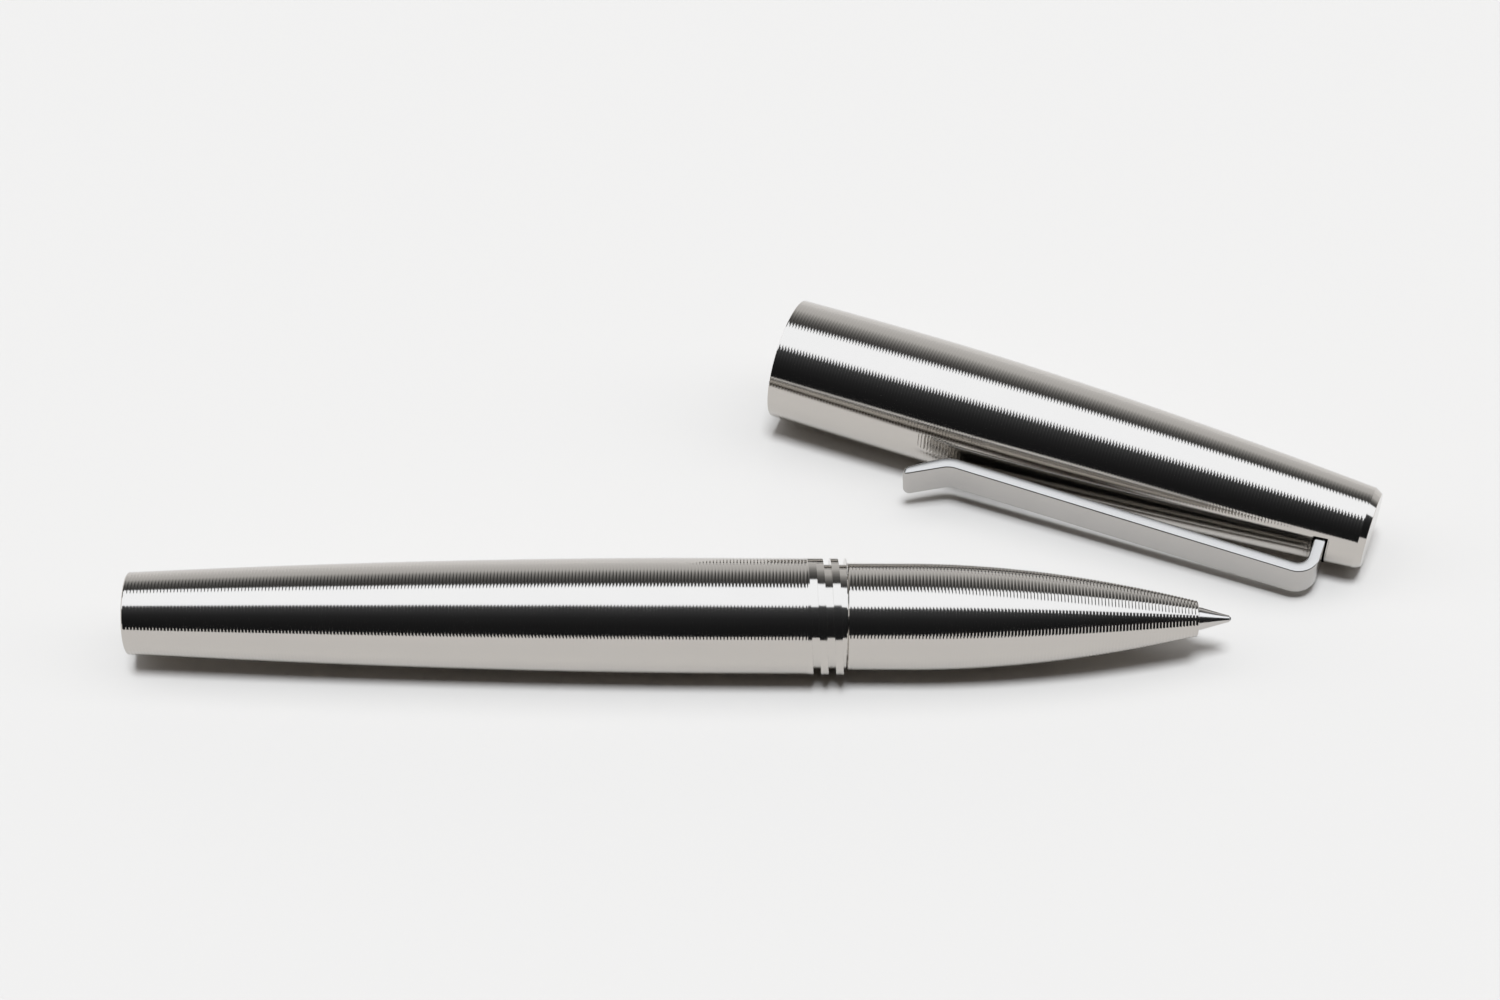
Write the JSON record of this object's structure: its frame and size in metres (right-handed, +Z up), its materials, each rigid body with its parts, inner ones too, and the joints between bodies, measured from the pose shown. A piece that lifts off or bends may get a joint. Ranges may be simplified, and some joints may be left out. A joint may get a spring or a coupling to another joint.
{
  "type": "technical pen",
  "caption": "Screw-cap steel gel pen with turned grooved barrel and tapering nose, lying beside its tapered cap with a bent strip clip.",
  "frame": {"origin": "centre of the bottom of the box over the pen and its cap, on the ground they lie on", "axes": "+X along the pen towards its point, +Z up, +Y from the pen towards the cap"},
  "size_m": [0.1354, 0.0513, 0.0146],
  "materials": {
    "barrel_steel": "polished, finely turned",
    "section_steel": "polished, finely turned",
    "seal_rubber": "matt",
    "spring_steel": "plain",
    "plug_plastic": "moulded",
    "tube_plastic": "translucent",
    "black_ink": "gel",
    "follower_grease": "gel",
    "holder_plastic": "moulded",
    "point_steel": "polished",
    "carbide_ball": "polished",
    "cap_steel": "polished, finely turned",
    "liner_plastic": "moulded",
    "clip_steel": "satin",
    "screw_steel": "plain"
  },
  "bodies": {
    "barrel": {"barrel": "barrel_steel", "refill_spring": "spring_steel"},
    "seal": {"section_seal": "seal_rubber"},
    "section": {"section": "section_steel"},
    "refill": {"refill_plug": "plug_plastic", "refill_tube": "tube_plastic", "refill_ink": "black_ink", "ink_follower": "follower_grease", "refill_holder": "holder_plastic", "refill_point": "point_steel"},
    "ball": {"writing_ball": "carbide_ball"},
    "cap": {"cap_tube": "cap_steel", "cap_liner": "liner_plastic", "liner_seal": "seal_rubber", "clip_screw": "screw_steel", "clip_washer": "screw_steel"},
    "clip": {"clip": "clip_steel"}
  },
  "joints": [
    {"name": "section_travel", "type": "slide", "parent": "barrel", "child": "seal", "axis": [1, 0, 0], "range_m": [0, 0.007], "deforming": ["refill_spring"]},
    {"name": "section_spin", "type": "hinge", "parent": "seal", "child": "section", "pos_m": [0.00725, -0.01943, 0.00623], "axis": [1, 0, 0], "range_deg": [0, 2515]},
    {"name": "refill_push", "type": "slide", "parent": "section", "child": "refill", "axis": [1, 0, 0], "range_m": [-0.0008, 0], "stiffness_N_per_m": 250, "springref_m": 0.003, "deforming": ["refill_spring"]},
    {"name": "ball_roll", "type": "hinge", "parent": "refill", "child": "ball", "pos_m": [0.0491, -0.01943, 0.00623], "axis": [0, 1, 0], "continuous": true},
    {"name": "cap_slide", "type": "slide", "parent": "barrel", "child": "cap", "axis": [-0.9323, 0.3616, 0], "range_m": [0, 0.03]},
    {"name": "clip_flex", "type": "hinge", "parent": "cap", "child": "clip", "pos_m": [0.06174, -0.00365, 0.00559], "axis": [-0.0559, -0.2378, 0.9697], "range_deg": [0, 1.5], "stiffness_Nm_per_rad": 3}
  ],
  "couplings": [
    {"joint": "section_travel", "follows": "section_spin", "m_per_rad": 0.00015915}
  ]
}
